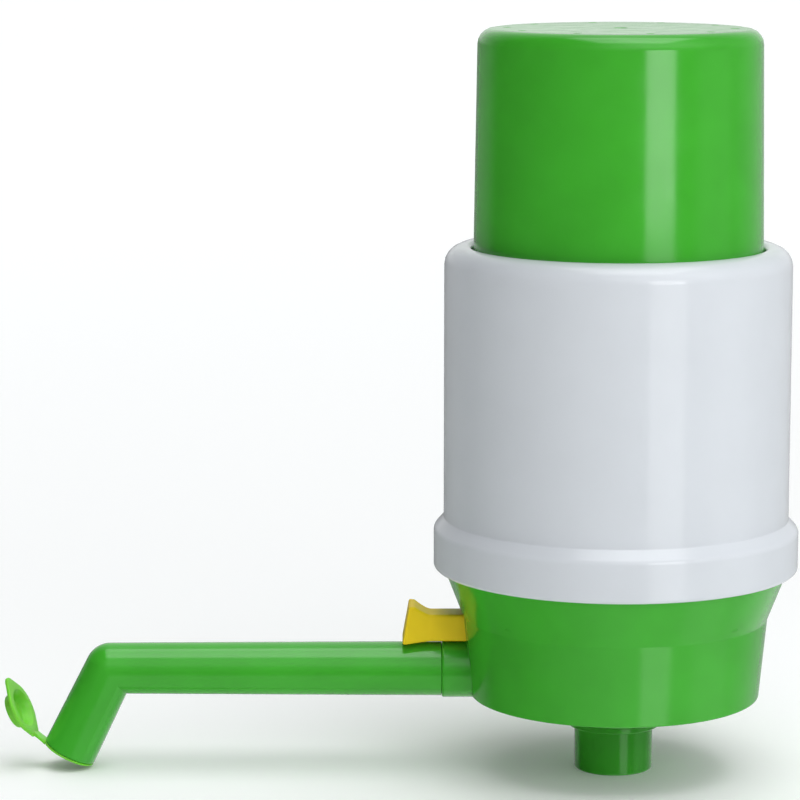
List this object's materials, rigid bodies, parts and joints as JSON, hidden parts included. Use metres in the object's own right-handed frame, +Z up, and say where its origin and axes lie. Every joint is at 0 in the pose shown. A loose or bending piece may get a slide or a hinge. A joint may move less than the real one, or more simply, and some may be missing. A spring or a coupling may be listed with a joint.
{
  "type": "water jug hand pump",
  "caption": "Hand press pump for a water jug: sliding press cap over bellows in a round sleeve, push release button and a swivelling bent spout with a hinged dust cap.",
  "frame": {"origin": "centre of the suction socket's lower face, on the pump's vertical axis", "axes": "+Z up along the pump's axis, -X along the spout, -Y towards the side that the picture shows"},
  "size_m": [0.1926, 0.0878, 0.1797],
  "materials": {
    "green_plastic": "polished injection-moulded green plastic",
    "white_plastic": "polished injection-moulded white plastic",
    "yellow_plastic": "satin injection-moulded yellow plastic",
    "soft_green_plastic": "soft translucent light green plastic",
    "natural_plastic": "milky blow-moulded plastic",
    "rubber": "black moulded rubber",
    "steel": "drawn stainless steel"
  },
  "bodies": {
    "base": {"base_body": "green_plastic", "suction_connector": "green_plastic", "connector_o_ring": "rubber", "jug_gasket": "rubber", "deck_seal": "rubber", "valve_deck": "white_plastic", "outlet_flap": "rubber", "bellows_clamp": "white_plastic", "deck_screws": "steel", "bellows": "natural_plastic", "return_spring": "steel", "outer_sleeve": "white_plastic", "release_spring": "steel", "spout_fork": "white_plastic"},
    "press_head": {"press_cap": "green_plastic", "intake_valve": "white_plastic", "intake_flap": "rubber", "head_screws": "steel"},
    "release_button": {"release_knob": "yellow_plastic", "release_seal": "rubber", "release_washer": "white_plastic", "release_clip": "steel"},
    "spout_arm": {"spout": "green_plastic", "spout_o_rings": "rubber", "dust_cap_liner": "soft_green_plastic", "dust_cap_strap": "soft_green_plastic"},
    "dust_cap": {"dust_cap_lid": "soft_green_plastic"}
  },
  "joints": [
    {"name": "press", "type": "slide", "parent": "base", "child": "press_head", "axis": [0, 0, -1], "range_m": [0, 0.045], "stiffness_N_per_m": 300, "springref_m": -0.02, "deforming": ["bellows", "return_spring"]},
    {"name": "release_push", "type": "slide", "parent": "base", "child": "release_button", "axis": [1, 0, 0], "range_m": [0, 0.003], "stiffness_N_per_m": 500, "springref_m": -0.002, "deforming": ["release_spring"]},
    {"name": "spout_swivel", "type": "hinge", "parent": "base", "child": "spout_arm", "pos_m": [-0.04, 0, 0.0246], "axis": [-1, 0, 0], "range_deg": [-90, 90]},
    {"name": "dust_cap_hinge", "type": "hinge", "parent": "spout_arm", "child": "dust_cap", "pos_m": [-0.14098, 0, 0.00674], "axis": [-0.0386, -0.9962, -0.0781], "range_deg": [0, 218], "stiffness_Nm_per_rad": 0.002, "deforming": ["dust_cap_strap"]}
  ]
}
